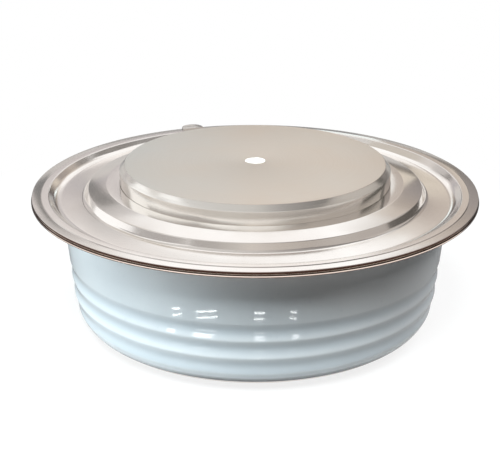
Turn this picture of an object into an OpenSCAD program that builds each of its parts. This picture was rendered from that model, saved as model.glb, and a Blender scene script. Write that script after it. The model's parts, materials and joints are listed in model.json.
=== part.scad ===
// Disc thyristor: a press-pack capsule with two copper poles, a ribbed ceramic ring and a cold-welded rim.
// The frame's origin is the centre of the lower contact face, +Z points to the upper contact face.

/* [Poles] */
// Diameter of both copper poles outside the capsule
pole_d = 61; // [54:0.5:66]
// Chamfer on the edge of a contact face
pole_chamfer = 1.2; // [0.4:0.1:1.3]
// Width of the shoulder that the sheet flanges are brazed to
shoulder_w = 2.5; // [2:0.1:4]
// Height of the upper pole's shoulder
shoulder_h = 5; // [3:0.5:6]
// Height of the upper contact face over the lip
pole_rise = 5.8; // [4.8:0.1:9]
// Height of the lower pole above the anode flange
anode_pole_h = 8; // [6:0.5:9]
// Chamfer on the upper pole's inner edge
inner_chamfer = 0.6; // [0.2:0.1:1]
// Diameter of the centring holes
centring_d = 3.2; // [3:0.1:4]
// Depth of the centring holes, without the drill point
centring_depth = 2.8; // [2.4:0.1:3.4]
// Diameter of the upper hole's conical mouth
mouth_d = 4.6; // [4.2:0.1:5]
// Slope of that mouth
mouth_slope = 60; // [45:1:62]
// Slope of the drill point
drill_slope = 31; // [20:1:45]

/* [Ceramic] */
// Height of the ceramic ring
ceramic_h = 26.7; // [24:0.1:34]
// Wall of the ceramic ring at its top
ceramic_wall = 7; // [6.2:0.1:9]
// Room between the pole's shoulder and the ceramic's bore
bore_gap = 3.6; // [3.2:0.1:5]
// Draft of the outer wall, narrowing downwards
ceramic_draft = 4.8; // [0:0.1:5]
// Number of grooves between the ribs
groove_count = 3; // [2:1:4]
// Height of one rib
rib_pitch = 4; // [3:0.1:4.4]
// Depth of the grooves
groove_depth = 0.35; // [0.2:0.05:0.7]
// Height of the lowest groove over the ceramic's bottom
groove_start = 4.8; // [4:0.1:6]
// Height of the rounded foot
foot_h = 6.2; // [4:0.1:8]
// How far the rounding draws the foot in
foot_in = 2.8; // [1:0.1:3]
// Rounding of the ceramic's upper edge
ceramic_head_r = 0.7; // [0.3:0.1:1.5]

/* [Rim] */
// Thickness of the stamped lid and of the weld ring
sheet_t = 0.5; // [0.35:0.05:0.6]
// Inside radius of the bends in the sheets
bend_r = 1.1; // [0.7:0.1:1.3]
// Rise of the valley's floor from the lip's wall to the shelf
valley_rise = 0.6; // [0:0.05:0.8]
// Radius between the valley and the lip's wall
valley_bend_r = 2.6; // [1:0.1:3]
// Radius of the crest between the lip and its wall
crest_bend_r = 0.55; // [0.3:0.05:0.8]
// How far the rim stands out past the ceramic's top
flange_overhang = 6.4; // [5.8:0.1:10]
// Width of the flat lip
lip_w = 3.65; // [3.2:0.05:4]
// Width of the outer margin of the lip
margin_w = 2.1; // [1.6:0.1:2.4]
// Height of the weld track over the margin
track_rise = 0.15; // [0.1:0.05:0.3]
// Height of the lip over the valley
lip_h = 1.5; // [1.2:0.1:2.5]
// Run of the sloping wall between valley and lip
lip_run = 1.75; // [1.4:0.05:2.2]
// Gap between the two sheets at the rim's edge
rim_splay = 0.2; // [0.14:0.02:0.6]
// How far the lower sheet shows past the upper one
rim_step = 0.2; // [0:0.05:0.5]
// Setback of the weld ring's inner edge from the ceramic's bore
ring_setback = 1.2; // [0.5:0.1:2]

/* [Shelf] */
// Width of the shelf round the pole's shoulder
shelf_w = 4.6; // [4:0.1:5]
// Run of the shelf's steep wall
shelf_run = 0.9; // [0.7:0.1:1.4]
// Height of the shelf's edge over the lip
shelf_rise = 0.8; // [0.3:0.1:1.5]
// Further rise of the shelf up to the pole
shelf_slope = 0.85; // [0.5:0.05:1.6]
// Rounding of the shelf's edge
shelf_edge_r = 0.35; // [0.1:0.05:0.6]

/* [Anode flange] */
// Thickness of the anode flange
anode_sheet_t = 0.6; // [0.4:0.05:0.8]
// How far the lower contact face stands out below the anode flange
anode_rise = 1.4; // [1.3:0.1:3]
// Height of the corrugation in the anode flange
bead_h = 0.8; // [0.4:0.1:1.5]
// Setback of the anode flange from the edge of the ceramic's lower face
anode_setback = 0.3; // [0.2:0.1:0.6]

/* [Wafer stack] */
// How far the lower molybdenum disc stands out past the lower pole
disc_overhang = 0.5; // [0.2:0.1:1]
// Thickness of the lower molybdenum disc
anode_disc_t = 2; // [1.2:0.1:2.5]
// Setback of the silicon wafer from the lower disc's edge
wafer_setback = 1.9; // [1.5:0.1:2.5]
// Thickness of the silicon wafer
wafer_t = 0.7; // [0.5:0.05:0.8]
// Run of the bevel on the wafer's edge
wafer_bevel = 0.6; // [0.3:0.1:0.8]
// Width of the rubber coat on the wafer's top and on the disc
seal_w = 0.7; // [0.5:0.1:0.9]
// Height of the rubber coat over the wafer's top
seal_h = 0.6; // [0.3:0.1:0.9]
// Gap between the rubber coat and the upper disc
seal_gap = 0.5; // [0.3:0.1:1]
// Thickness of the upper molybdenum disc
cathode_disc_t = 1; // [0.8:0.1:1.5]
// Thickness of the silver foil
foil_t = 0.2; // [0.1:0.05:0.3]
// Diameter of the gate hole in the upper disc and the foil
gate_hole_d = 6; // [5.6:0.1:6.6]
// Height of the centring ring above the lower disc
ring_lip_h = 2; // [1.5:0.1:3]
// Depth of the centring ring below the lower disc's top
ring_skirt_h = 4; // [3:0.1:5]

/* [Gate] */
// Direction of the gate tube and the cathode tab, from +X
lead_angle = 110; // [60:1:120]
// Depth of the gate lead below the ceramic's top
lead_drop = 5.2; // [4:0.1:6]
// Diameter of the gate wire
wire_d = 1.2; // [0.8:0.1:1.4]
// Bend radius of the gate wire
wire_bend = 1.6; // [1.3:0.1:2]
// Wall of the insulating sleeve on the wire
sleeve_wall = 0.5; // [0.3:0.05:0.6]
// Diameter of the gate pocket in the upper pole
pocket_d = 8; // [7.6:0.1:9]
// Wall of the insulating bush
bush_wall = 1.1; // [0.8:0.1:1.2]
// Diameter of the gate pin's tip
pin_d = 2; // [1.6:0.1:2.4]
// Thickness of the gate pin's collar
pin_collar_t = 0.7; // [0.5:0.1:1]
// Wall of the socket that holds the wire in the gate pin
pin_socket_wall = 0.25; // [0.15:0.05:0.4]
// Height of that socket over the collar
pin_socket_h = 0.7; // [0.4:0.1:1.2]
// Diameter of the gate spring's wire
spring_wire_d = 0.5; // [0.3:0.05:0.55]
// Number of turns of the gate spring
spring_turns = 3; // [2:1:4]
// Wall of the gate tube
tube_wall = 0.75; // [0.5:0.05:1]
// How far the gate tube stands out past the ceramic's top edge
tube_reach = 5.2; // [3:0.1:6]
// Diameter of the stop bead on the gate tube
tube_bead_d = 4.4; // [4:0.1:5]
// Thickness of the stop bead
tube_bead_t = 0.8; // [0.5:0.1:1.2]

/* [Cathode tab] */
// Width of the cathode tab
tab_w = 5.6; // [4.5:0.1:7]
// How far the cathode tab stands out past the rim
tab_reach = 1.7; // [1.2:0.1:2.6]
// Thickness of the cathode tab
tab_t = 0.5; // [0.3:0.05:1]

/* [Clearances] */
// Gap at brazed and soldered joints
braze_gap = 0.05; // [0.02:0.01:0.1]
// Gap between the nested sheets of the rim
nest_gap = 0.1; // [0.08:0.01:0.2]
// Gap round the loose inner pieces
fit_gap = 0.15; // [0.1:0.01:0.25]

/* [Hidden] */
$fn = 144;

// Colours of the pieces
nickel = [0.80, 0.77, 0.74];
bright_nickel = [0.88, 0.85, 0.82];
glaze = [0.93, 0.95, 0.96];
molybdenum = [0.55, 0.56, 0.58];
silver = [0.90, 0.90, 0.89];
silicon = [0.25, 0.27, 0.32];
silicone_rubber = [0.80, 0.40, 0.30];
ptfe = [0.94, 0.94, 0.92];

// Radii, from the poles outwards
pole_r = pole_d / 2;
shoulder_r = pole_r + shoulder_w;
bore_r = shoulder_r + bore_gap;
ceramic_r = bore_r + ceramic_wall;
flange_r = ceramic_r + flange_overhang;
shelf_r = shoulder_r + shelf_w;
crest_r = flange_r - lip_w;
valley_r = crest_r - lip_run;
track_end_r = flange_r - margin_w;

// Radii of the wafer stack, from the lower disc inwards
anode_disc_r = shoulder_r + disc_overhang;
wafer_r = anode_disc_r - wafer_setback;
wafer_top_r = wafer_r - wafer_bevel;
cathode_disc_r = wafer_top_r - seal_w - seal_gap;
gate_hole_r = gate_hole_d / 2;

// Heights, from the lower contact face upwards
ceramic_z = anode_rise + anode_sheet_t;
ceramic_top = ceramic_z + ceramic_h;
ring_z = ceramic_top + sheet_t;
valley_z = ring_z + nest_gap + sheet_t;
lip_z = valley_z + lip_h;
seat_z = lip_z + shelf_rise + shelf_slope;
pole_top = lip_z + pole_rise;
anode_pole_top = ceramic_z + anode_pole_h;
wafer_z = anode_pole_top + anode_disc_t;
wafer_top = wafer_z + wafer_t;
foil_z = wafer_top + cathode_disc_t;
stack_top = foil_z + foil_t;

// The centring holes
hole_r = centring_d / 2;
hole_tip = centring_depth + hole_r * tan(drill_slope);
mouth_r = mouth_d / 2;
mouth_depth = (mouth_r - hole_r) * tan(mouth_slope);

// The gate's path inside the upper pole
lead_z = ceramic_top - lead_drop;
wire_r = wire_d / 2;
sleeve_bore_r = wire_r + fit_gap;
sleeve_r = sleeve_bore_r + sleeve_wall;
slot_half = sleeve_r + fit_gap;
pocket_r = pocket_d / 2;
pocket_top = lead_z + slot_half;
bush_r = pocket_r - fit_gap;
bush_bore_r = bush_r - bush_wall;
bush_top = lead_z - slot_half;
bush_ceiling = bush_top - bush_wall;
pin_collar_z = stack_top + bush_wall;
pin_collar_top = pin_collar_z + pin_collar_t;
pin_collar_r = bush_bore_r - fit_gap;
pin_socket_r = wire_r + braze_gap;
spring_r = pin_collar_r - spring_wire_d / 2;
spring_bottom = pin_collar_top + fit_gap;
spring_top = bush_ceiling - fit_gap;

// Steps of the arcs, the ribs, the foot and the coil, and the overlap of a cut
arc_steps = 6;
wave_steps = 14;
foot_steps = 12;
coil_sides = 8;
coil_steps = 20;
cut = 0.01;

function unit(v) = v / norm(v);
function right_of(a, b) = let (u = unit(b - a)) [u[1], -u[0]];
function turn(a, b, c) =
    let (u = unit(b - a), v = unit(c - b))
    atan2(u[0] * v[1] - u[1] * v[0], u * v);

// Points of the rounded corner b between a and c
function corner(a, b, c, r) =
    let (t = turn(a, b, c),
         from = b - unit(b - a) * r * tan(abs(t) / 2),
         centre = from - sign(t) * r * right_of(a, b),
         arm = from - centre)
    r <= 0 || t == 0 ? [b] :
    [for (i = [0 : arc_steps])
        let (g = t * i / arc_steps)
        centre + [arm[0] * cos(g) - arm[1] * sin(g), arm[0] * sin(g) + arm[1] * cos(g)]];

function rounded(path, radii) =
    let (last = len(path) - 1)
    [for (i = [0 : last])
        each i == 0 || i == last ? [path[i]] : corner(path[i - 1], path[i], path[i + 1], radii[i])];

// The same path moved to its right by d
function shifted(path, d) =
    let (last = len(path) - 1)
    [for (i = [0 : last])
        let (m = right_of(path[max(i - 1, 0)], path[max(i, 1)]),
             n = right_of(path[min(i, last - 1)], path[min(i + 1, last)]))
        path[i] + (m + n) * d / (1 + m * n)];

// Radii of the moved path's corners: a bend is wider on its outside
function shifted_radii(path, radii, d) =
    let (last = len(path) - 1)
    [for (i = [0 : last])
        i == 0 || i == last || radii[i] == 0 ? 0 :
        max(0, radii[i] + d * sign(turn(path[i - 1], path[i], path[i + 1])))];

function reversed(list) = [for (i = [len(list) - 1 : -1 : 0]) list[i]];

// Sheet metal ring of thickness t below a path of [radius, height] corners
module sheet_ring(path, radii, t) {
    under = rounded(shifted(path, t), shifted_radii(path, radii, t));
    rotate_extrude() polygon(concat(rounded(path, radii), reversed(under)));
}

module disc(r, z, t) {
    translate([0, 0, z]) cylinder(r = r, h = t);
}

module washer(r, inner_r, z, t) {
    difference() {
        disc(r, z, t);
        disc(inner_r, z - cut, t + 2 * cut);
    }
}

// Turns children to the gate's direction, which becomes their +X
module to_lead() {
    rotate([0, 0, lead_angle]) children();
}

// Places children on the gate's axis, their +Z pointing outwards
module along_lead() {
    to_lead() translate([0, 0, lead_z]) rotate([0, 90, 0]) children();
}

// Shouldered pole, with a coned blind hole in its face and room for the gate below
module cathode_pole() {
    shoulder_top = seat_z - sheet_t;
    color(nickel) difference() {
        rotate_extrude() polygon([
            [0, stack_top],
            [cathode_disc_r - inner_chamfer, stack_top],
            [cathode_disc_r, stack_top + inner_chamfer],
            [cathode_disc_r, shoulder_top - shoulder_h],
            [shoulder_r, shoulder_top - shoulder_h],
            [shoulder_r, shoulder_top],
            [pole_r, shoulder_top],
            [pole_r, pole_top - pole_chamfer],
            [pole_r - pole_chamfer, pole_top],
            [mouth_r, pole_top],
            [hole_r, pole_top - mouth_depth],
            [hole_r, pole_top - centring_depth],
            [0, pole_top - hole_tip]
        ]);
        disc(pocket_r, stack_top - cut, pocket_top - stack_top + cut);
        to_lead() translate([0, -slot_half, stack_top - cut])
            cube([shoulder_r, 2 * slot_half, pocket_top - stack_top + cut]);
    }
}

// Corners of the lid's upper side, from the pole to the rim
lid_path = [
    [pole_r + braze_gap, seat_z],
    [shoulder_r + sheet_t, seat_z],
    [shelf_r, lip_z + shelf_rise],
    [shelf_r + shelf_run, valley_z + valley_rise],
    [valley_r, valley_z],
    [crest_r, lip_z + track_rise],
    [track_end_r, lip_z + track_rise],
    [track_end_r + track_rise, lip_z],
    [flange_r, lip_z]
];
lid_radii = [0, bend_r, shelf_edge_r, bend_r, valley_bend_r, crest_bend_r, 0, 0, 0];

module cathode_flange() {
    color(bright_nickel) sheet_ring(lid_path, lid_radii, sheet_t);
}

// The lower sheet follows the lid's wall, meets it along the weld track and parts from it at the margin
module weld_ring() {
    nested = shifted(lid_path, sheet_t + nest_gap);
    wall = nested[5] - nested[4];
    track_z = lip_z + track_rise - sheet_t;
    path = [
        [bore_r + ring_setback, ring_z],
        nested[5] - wall * (nested[5][1] - ring_z) / wall[1],
        nested[5] - wall * (nested[5][1] - track_z) / wall[1],
        [track_end_r - 2 * track_rise, track_z],
        [track_end_r, lip_z - sheet_t - nest_gap],
        [flange_r + rim_step, lip_z - sheet_t - rim_splay]
    ];
    radii = [0, valley_bend_r + sheet_t + nest_gap, crest_bend_r, 0, 0, 0];
    color(nickel) sheet_ring(path, radii, sheet_t);
}

// Outer radius of the ceramic at a height over its bottom: a drafted wall with a rounded foot and wide grooves
function wave(h) =
    let (g = (h - groove_start) / rib_pitch)
    g < -0.5 || g > groove_count - 0.5 ? 0 : pow((1 + cos(360 * g)) / 2, 0.7);
function foot(h) = h < foot_h ? foot_in * (1 - sqrt(1 - pow(1 - h / foot_h, 2))) : 0;
function wall_r(h) = ceramic_r - (ceramic_h - h) * tan(ceramic_draft) - foot(h) - groove_depth * wave(h);

module ceramic_insulator() {
    ribs_from = groove_start - rib_pitch / 2;
    steps = groove_count * wave_steps;
    arc = [for (i = [0 : foot_steps])
        let (h = foot_h * (1 - cos(90 * i / foot_steps)))
        if (h < ribs_from) [wall_r(h), h]];
    wall = [for (i = [0 : steps])
        let (h = ribs_from + rib_pitch * i / wave_steps)
        [wall_r(h), h]];
    high = [wall_r(ceramic_h), ceramic_h];
    profile = concat(
        [[bore_r, 0]],
        arc,
        wall,
        corner(wall[steps], high, [bore_r, ceramic_h], ceramic_head_r),
        [[bore_r, ceramic_h]]
    );
    color(glaze) difference() {
        translate([0, 0, ceramic_z]) rotate_extrude() polygon(profile);
        along_lead() cylinder(r = tube_r + braze_gap, h = flange_r);
    }
}

module anode_flange() {
    bead_in = shoulder_r + anode_sheet_t;
    bead_out = bore_r - anode_sheet_t;
    flat = (bead_out - bead_in) / 3;
    path = [
        [pole_r + braze_gap, ceramic_z],
        [bead_in, ceramic_z],
        [bead_in + flat, ceramic_z + bead_h],
        [bead_out - flat, ceramic_z + bead_h],
        [bead_out, ceramic_z],
        [wall_r(0) - anode_setback, ceramic_z]
    ];
    radii = [0, anode_sheet_t / 2, anode_sheet_t, anode_sheet_t, anode_sheet_t / 2, 0];
    color(bright_nickel) sheet_ring(path, radii, anode_sheet_t);
}

module anode_pole() {
    color(nickel) rotate_extrude() polygon([
        [0, hole_tip],
        [hole_r, centring_depth],
        [hole_r, 0],
        [pole_r - pole_chamfer, 0],
        [pole_r, pole_chamfer],
        [pole_r, ceramic_z],
        [shoulder_r, ceramic_z],
        [shoulder_r, anode_pole_top],
        [0, anode_pole_top]
    ]);
}

// Low rounded ear, welded on the lip's margin
module cathode_tab() {
    root = track_end_r + 2 * track_rise;
    centre = flange_r + tab_reach - tab_w / 2;
    color(bright_nickel) to_lead() translate([0, 0, lip_z]) intersection() {
        translate([centre, 0, 0]) cylinder(d = tab_w, h = tab_t);
        translate([root, -tab_w, -cut]) cube([2 * tab_w, 2 * tab_w, tab_t + 2 * cut]);
    }
}

// Gate tube: its ends, and the place of its bead on the ceramic's wall
tube_bore_r = wire_r + braze_gap;
tube_r = tube_bore_r + tube_wall;
tube_in = bore_r - fit_gap;
tube_out = ceramic_r + tube_reach;
tube_bead = wall_r(lead_z - ceramic_z + tube_bead_d / 2) + braze_gap;

module gate_tube() {
    color(bright_nickel) along_lead() difference() {
        union() {
            disc(tube_r, tube_in, tube_out - tube_in);
            disc(tube_bead_d / 2, tube_bead, tube_bead_t);
        }
        disc(tube_bore_r, tube_in - cut, tube_out - tube_in + 2 * cut);
    }
}

// Wire from the gate pin's socket up, round a bend and out to the tube's end
module gate_wire() {
    bend_z = lead_z - wire_bend;
    color(bright_nickel) to_lead() {
        disc(wire_r, pin_collar_z, bend_z - pin_collar_z);
        translate([wire_bend, 0, bend_z]) rotate([90, 0, 0]) rotate([0, 0, 90])
            rotate_extrude(angle = 90) translate([wire_bend, 0]) circle(r = wire_r);
        translate([wire_bend, 0, lead_z]) rotate([0, 90, 0])
            cylinder(r = wire_r, h = tube_out - fit_gap - wire_bend);
    }
}

module gate_sleeve() {
    color(ptfe) along_lead() washer(sleeve_r, sleeve_bore_r, pocket_r, tube_in - fit_gap - pocket_r);
}

module gate_pin() {
    stub_top = pin_collar_top + pin_socket_h;
    color(bright_nickel) difference() {
        union() {
            disc(pin_d / 2, wafer_top, pin_collar_z - wafer_top);
            disc(pin_collar_r, pin_collar_z, pin_collar_t);
            disc(pin_socket_r + pin_socket_wall, pin_collar_top, pin_socket_h);
        }
        disc(pin_socket_r, pin_collar_z, stub_top - pin_collar_z + cut);
    }
}

// Coil spring: rings of points carried up a helix
module gate_spring() {
    rings = spring_turns * coil_steps;
    wr = spring_wire_d / 2;
    from = spring_bottom + wr;
    lift = spring_top - spring_bottom - spring_wire_d;
    points = [for (i = [0 : rings], k = [0 : coil_sides - 1])
        let (a = 360 * i / coil_steps, b = 360 * k / coil_sides, r = spring_r + wr * cos(b))
        [r * cos(a), r * sin(a), from + lift * i / rings + wr * sin(b)]];
    skin = [for (i = [0 : rings - 1], k = [0 : coil_sides - 1])
        let (m = (k + 1) % coil_sides)
        [i * coil_sides + k, (i + 1) * coil_sides + k, (i + 1) * coil_sides + m, i * coil_sides + m]];
    ends = [
        [for (k = [0 : coil_sides - 1]) k],
        [for (k = [coil_sides - 1 : -1 : 0]) rings * coil_sides + k]
    ];
    color(bright_nickel) polyhedron(points, concat(skin, ends));
}

module gate_bush() {
    color(ptfe) difference() {
        disc(bush_r, stack_top, bush_top - stack_top);
        disc(bush_bore_r, stack_top - cut, bush_ceiling - stack_top + cut);
        disc(sleeve_bore_r, bush_ceiling - cut, bush_wall + 2 * cut);
    }
}

module cathode_disc() {
    color(molybdenum) washer(cathode_disc_r, gate_hole_r, wafer_top, cathode_disc_t);
}

module silver_foil() {
    color(silver) washer(cathode_disc_r, gate_hole_r, foil_z, foil_t);
}

module silicon_wafer() {
    color(silicon) translate([0, 0, wafer_z]) cylinder(r1 = wafer_r, r2 = wafer_top_r, h = wafer_t);
}

// Rubber coat over the wafer's bevel, from the wafer's top to the disc below
module edge_seal() {
    color(silicone_rubber) rotate_extrude() polygon([
        [wafer_r, wafer_z],
        [wafer_r + seal_w, wafer_z],
        [wafer_r + seal_w, wafer_z + wafer_t / 2],
        [wafer_top_r, wafer_top + seal_h],
        [wafer_top_r - seal_w, wafer_top + seal_h],
        [wafer_top_r - seal_w, wafer_top],
        [wafer_top_r, wafer_top]
    ]);
}

module anode_disc() {
    color(molybdenum) disc(anode_disc_r, anode_pole_top, anode_disc_t);
}

// L-shaped ring that sits on the lower disc and centres it in the ceramic's bore
module centring_ring() {
    lip_in = wafer_r + seal_w + fit_gap;
    skirt_in = anode_disc_r + fit_gap;
    outer = bore_r - fit_gap;
    color(ptfe) rotate_extrude() polygon([
        [skirt_in, wafer_z - ring_skirt_h],
        [outer, wafer_z - ring_skirt_h],
        [outer, wafer_z + ring_lip_h],
        [lip_in, wafer_z + ring_lip_h],
        [lip_in, wafer_z],
        [skirt_in, wafer_z]
    ]);
}

cathode_pole();
cathode_flange();
weld_ring();
ceramic_insulator();
anode_flange();
anode_pole();
cathode_tab();
gate_tube();
gate_wire();
gate_sleeve();
gate_pin();
gate_spring();
gate_bush();
cathode_disc();
silver_foil();
silicon_wafer();
edge_seal();
anode_disc();
centring_ring();
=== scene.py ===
"""Looks of a disc thyristor: turned poles, a stamped rim, a ribbed ceramic ring, their stage and camera."""
import json
import math

import bmesh
import bpy
from bpy.props import FloatProperty, FloatVectorProperty, IntProperty, PointerProperty
from mathutils import Matrix, Vector


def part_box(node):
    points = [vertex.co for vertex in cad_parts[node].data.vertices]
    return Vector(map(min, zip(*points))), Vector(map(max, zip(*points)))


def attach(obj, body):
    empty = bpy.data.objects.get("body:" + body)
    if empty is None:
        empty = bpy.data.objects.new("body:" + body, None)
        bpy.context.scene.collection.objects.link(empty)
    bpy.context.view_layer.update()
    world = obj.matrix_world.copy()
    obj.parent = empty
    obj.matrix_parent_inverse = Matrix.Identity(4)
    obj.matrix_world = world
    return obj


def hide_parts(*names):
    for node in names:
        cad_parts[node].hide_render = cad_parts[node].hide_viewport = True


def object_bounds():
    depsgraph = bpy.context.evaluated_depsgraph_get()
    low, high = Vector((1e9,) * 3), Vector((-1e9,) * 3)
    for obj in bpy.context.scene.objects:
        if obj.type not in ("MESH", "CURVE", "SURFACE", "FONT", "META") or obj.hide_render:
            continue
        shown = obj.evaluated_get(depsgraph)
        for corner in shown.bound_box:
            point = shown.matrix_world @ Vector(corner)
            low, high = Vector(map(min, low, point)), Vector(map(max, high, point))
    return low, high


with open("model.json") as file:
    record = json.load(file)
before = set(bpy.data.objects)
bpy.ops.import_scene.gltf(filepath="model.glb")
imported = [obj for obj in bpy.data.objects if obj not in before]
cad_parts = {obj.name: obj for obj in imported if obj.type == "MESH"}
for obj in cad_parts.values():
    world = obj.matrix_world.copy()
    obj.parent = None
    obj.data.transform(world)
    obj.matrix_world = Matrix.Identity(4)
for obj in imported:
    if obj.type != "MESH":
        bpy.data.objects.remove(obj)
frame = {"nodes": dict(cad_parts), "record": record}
CAD_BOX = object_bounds()

bl_info = {
    "name": "Disc Thyristor",
    "version": (1, 0, 0),
    "blender": (4, 5, 0),
    "location": "3D View > Sidebar > Thyristor",
    "description": "Dresses the pieces of a press-pack thyristor and sets their stage",
    "category": "Object",
}

MM = 0.001
BODY = "root"
# Points nearer than this become one
WELD = 0.001 * MM


# What the frame says

def low(node):
    """Lowest height of a CAD node."""
    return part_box(node)[0].z


def top(node):
    """Highest height of a CAD node."""
    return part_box(node)[1].z


def reach(node):
    """Largest distance of a CAD node from the capsule's axis."""
    return max(math.hypot(v.co.x, v.co.y) for v in frame["nodes"][node].data.vertices)


def mount(name):
    """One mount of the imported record."""
    return next(m for m in frame["record"]["mounts"] if m["name"] == name)


# Radius that stays inside the faceted CAD box on all sides
RIM_REACH = min(abs(c) for corner in CAD_BOX for c in corner.xy)
LEAD_AXIS = Vector(mount("gate_tube_end")["axis"])
LEAD_ANGLE = math.atan2(LEAD_AXIS.y, LEAD_AXIS.x)
LEAD_Z = mount("gate_tube_end")["pos_m"][2]


# Settings that a user would change

def length(name, description, millimetres, least=0):
    """A length or a place on an axis in metres, given in millimetres."""
    return FloatProperty(name=name, description=description, default=millimetres * MM, min=least * MM,
                         unit="LENGTH", precision=5)


def count(name, description, value, least=1):
    """A whole number."""
    return IntProperty(name=name, description=description, default=value, min=least)


def angle(name, description, degrees):
    """An angle, given in degrees."""
    return FloatProperty(name=name, description=description, default=math.radians(degrees), unit="ROTATION")


def share(name, description, value):
    """A number from 0 to 1."""
    return FloatProperty(name=name, description=description, default=value, min=0, max=1, subtype="FACTOR")


def strength(name, description, value, kind="NONE"):
    """Strength of a board, or power of a lamp in watts."""
    return FloatProperty(name=name, description=description, default=value, min=0, subtype=kind)


def colour(name, description, red, green, blue):
    """A linear colour."""
    return FloatVectorProperty(
        name=name, description=description, default=(red, green, blue), size=3, min=0, max=1, subtype="COLOR"
    )


class PoleSettings(bpy.types.PropertyGroup):
    """Sizes of the two copper poles."""
    radius: length("Radius", "Radius of both poles outside the capsule", 30.5)
    chamfer: length("Chamfer", "Chamfer on the edge of a contact face", 1.2)
    edge_break: length("Edge break", "Rounding left on machined edges", 0.12)
    shoulder_h: length("Shoulder", "Height of the upper pole's shoulder", 5)
    inner_chamfer: length("Inner chamfer", "Chamfer on the upper pole's inner edge", 0.6)
    drill_slope: angle("Drill point", "Slope of the centring holes' bottom", 31)
    mouth_radius: length("Mouth", "Radius of the upper hole's conical mouth", 2.3)
    mouth_slope: angle("Mouth slope", "Slope of the upper hole's mouth", 60)
    pocket_radius: length("Gate pocket", "Radius of the gate pocket in the upper pole", 4)


class RimSettings(bpy.types.PropertyGroup):
    """Sizes of the stamped lid, the weld ring and the lower flange."""
    sheet: length("Sheet", "Thickness of the lid and of the weld ring", 0.5)
    bend: length("Bend", "Inside radius of the bends", 1.1)
    valley_rise: length("Valley rise", "Rise of the valley's floor from the lip's wall to the shelf", 0.6)
    valley_bend: length("Valley bend", "Radius between the valley and the lip's wall", 2.6)
    crest_bend: length("Crest bend", "Radius between the lip and its wall", 0.55)
    lip_w: length("Lip", "Width of the flat lip", 3.65)
    margin_w: length("Margin", "Width of the lip's outer margin", 2.1)
    margin_droop: angle("Margin droop", "Slope of the margin's relief", 8)
    track_rise: length("Track", "Height of the weld track over the margin", 0.15)
    lip_h: length("Lip height", "Height of the lip over the valley", 1.5)
    lip_run: length("Lip run", "Run of the wall between valley and lip", 1.75)
    splay: length("Splay", "Gap between the two sheets at the rim's edge", 0.2)
    shelf_w: length("Shelf", "Width of the shelf round the pole's shoulder", 4.6)
    shelf_run: length("Shelf run", "Run of the shelf's steep wall", 0.9)
    shelf_rise: length("Shelf rise", "Height of the shelf's edge over the lip", 0.8)
    shelf_slope: length("Shelf slope", "Further rise of the shelf up to the pole", 0.85)
    shelf_edge: length("Shelf edge", "Rounding of the shelf's edge", 0.35)
    sheared_edge: length("Sheared edge", "Rounding of the sheets' cut edges", 0.09)
    braze_gap: length("Braze gap", "Gap at brazed joints", 0.05)
    nest_gap: length("Nest gap", "Gap between the nested sheets", 0.1)
    ring_setback: length("Ring setback", "Setback of the weld ring from the ceramic's bore", 1.2)
    lower_sheet: length("Lower sheet", "Thickness of the lower flange", 0.6)
    bead_h: length("Bead", "Height of the bead in the lower flange", 0.8)


class CeramicSettings(bpy.types.PropertyGroup):
    """Sizes of the ribbed ceramic ring."""
    wall: length("Wall", "Wall of the ring at its top", 7)
    draft: angle("Draft", "Draft of the outer wall, narrowing downwards", 4.8)
    grooves: count("Grooves", "Number of grooves between the ribs", 3)
    rib_pitch: length("Rib", "Height of one rib", 4)
    groove_depth: length("Groove depth", "Depth of the grooves", 0.35)
    groove_start: length("First groove", "Height of the lowest groove over the ring's bottom", 4.8)
    foot_h: length("Foot height", "Height of the rounded foot", 6.2)
    foot_in: length("Foot inset", "How far the rounding draws the foot in", 2.8)
    head_radius: length("Head", "Rounding of the upper edge", 0.7)
    wall_steps: count("Wall steps", "Steps of one rib's outline", 24, least=4)
    foot_steps: count("Foot steps", "Steps of the foot's outline", 24, least=4)


class LeadSettings(bpy.types.PropertyGroup):
    """Sizes of the gate's and the cathode's connections."""
    tube_edge: length("Tube edge", "Rounding of the gate tube's ends", 0.12)
    bead_radius: length("Stop bead", "Radius of the gate tube's stop bead", 2.2)
    bead_t: length("Bead thickness", "Thickness of the stop bead", 0.8)
    tube_wall: length("Tube wall", "Wall of the gate tube", 0.75)
    tab_edge: length("Tab edge", "Rounding of the cathode tab's edges", 0.1)
    spring_wire: length("Spring wire", "Diameter of the gate spring's wire", 0.5)
    spring_turns: count("Spring turns", "Turns of the gate spring", 3)


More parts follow.
